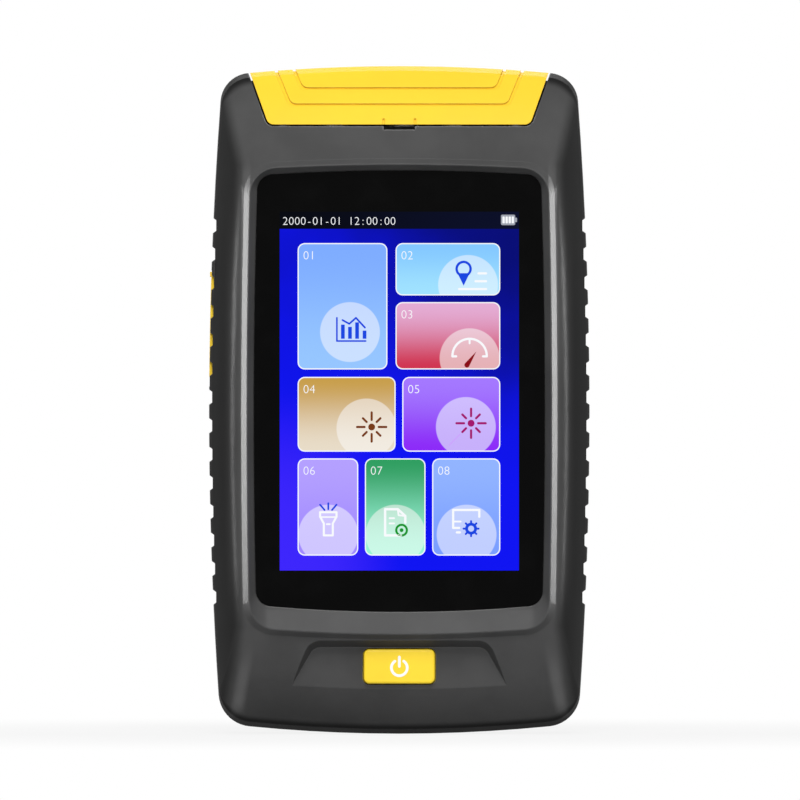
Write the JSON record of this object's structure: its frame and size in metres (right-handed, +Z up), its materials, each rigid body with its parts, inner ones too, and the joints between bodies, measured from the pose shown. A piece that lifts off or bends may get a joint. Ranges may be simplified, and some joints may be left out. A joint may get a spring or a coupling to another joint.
{
  "type": "optical time domain reflectometer",
  "caption": "Handheld fibre-optic reflectometer: dark two-part casing, touch screen, yellow power key, hinged dust cover over optical ports, side port flap and folding stand.",
  "frame": {"origin": "middle of the base, under the middle of the bounding box", "axes": "+Z up along the instrument, -Y out of the screen, +X to the right of someone who faces the screen"},
  "size_m": [0.078, 0.036, 0.137],
  "materials": {
    "casing_black": "fine moulded texture",
    "cover_yellow": "satin moulded",
    "key_yellow": "satin moulded",
    "flap_yellow": "matt moulded",
    "lens_glass": "polished, black printed border",
    "tape": "matt",
    "module_steel": "pressed sheet",
    "steel": "turned",
    "screw_black": "black zinc",
    "nickel": "nickel plated",
    "ceramic_white": "ground ceramic",
    "panel_black": "matt",
    "lamp_clear": "polished",
    "led_white": "moulded",
    "board_green": "solder mask",
    "switch_black": "moulded",
    "battery_blue": "shrink film",
    "foam": "open foam",
    "fibre_yellow": "smooth"
  },
  "bodies": {
    "casing": {"front_housing": "casing_black", "rear_housing": "casing_black", "touch_lens": "lens_glass", "lens_adhesive": "tape", "lcd_module": "module_steel", "key_switch": "switch_black", "cover_hinge_pin": "steel", "kickstand_pin": "steel", "port_panel": "panel_black", "panel_screws": "steel", "otdr_adapter": "nickel", "otdr_sleeve": "ceramic_white", "otdr_ferrule": "ceramic_white", "power_meter_adapter": "nickel", "photodiode": "steel", "fault_locator_port": "nickel", "fault_locator_laser": "steel", "lamp_lens": "lamp_clear", "lamp_led": "led_white", "main_board": "board_green", "board_screws": "steel", "housing_screws": "screw_black", "buzzer": "switch_black", "charging_port": "steel", "battery_pack": "battery_blue", "battery_pads": "foam", "optical_module": "module_steel", "fibre_tray": "panel_black", "fibre_coil": "fibre_yellow"},
    "dust_cover": {"top_cover": "cover_yellow"},
    "key": {"power_key": "key_yellow"},
    "flap": {"port_flap": "flap_yellow"},
    "stand": {"kickstand": "casing_black"}
  },
  "joints": [
    {"name": "cover_hinge", "type": "hinge", "parent": "casing", "child": "dust_cover", "pos_m": [0, 0.013, 0.1335], "axis": [-1, 0, 0], "range_deg": [0, 110]},
    {"name": "key_press", "type": "slide", "parent": "casing", "child": "key", "axis": [0, 1, 0], "range_m": [0, 0.0005], "stiffness_N_per_m": 400, "springref_m": -0.001},
    {"name": "flap_hinge", "type": "hinge", "parent": "casing", "child": "flap", "pos_m": [-0.03755, -0.001, 0.0737], "axis": [0, -1, 0], "range_deg": [0, 110]},
    {"name": "stand_hinge", "type": "hinge", "parent": "casing", "child": "stand", "pos_m": [0, 0.0169, 0.074], "axis": [1, 0, 0], "range_deg": [0, 55]}
  ]
}
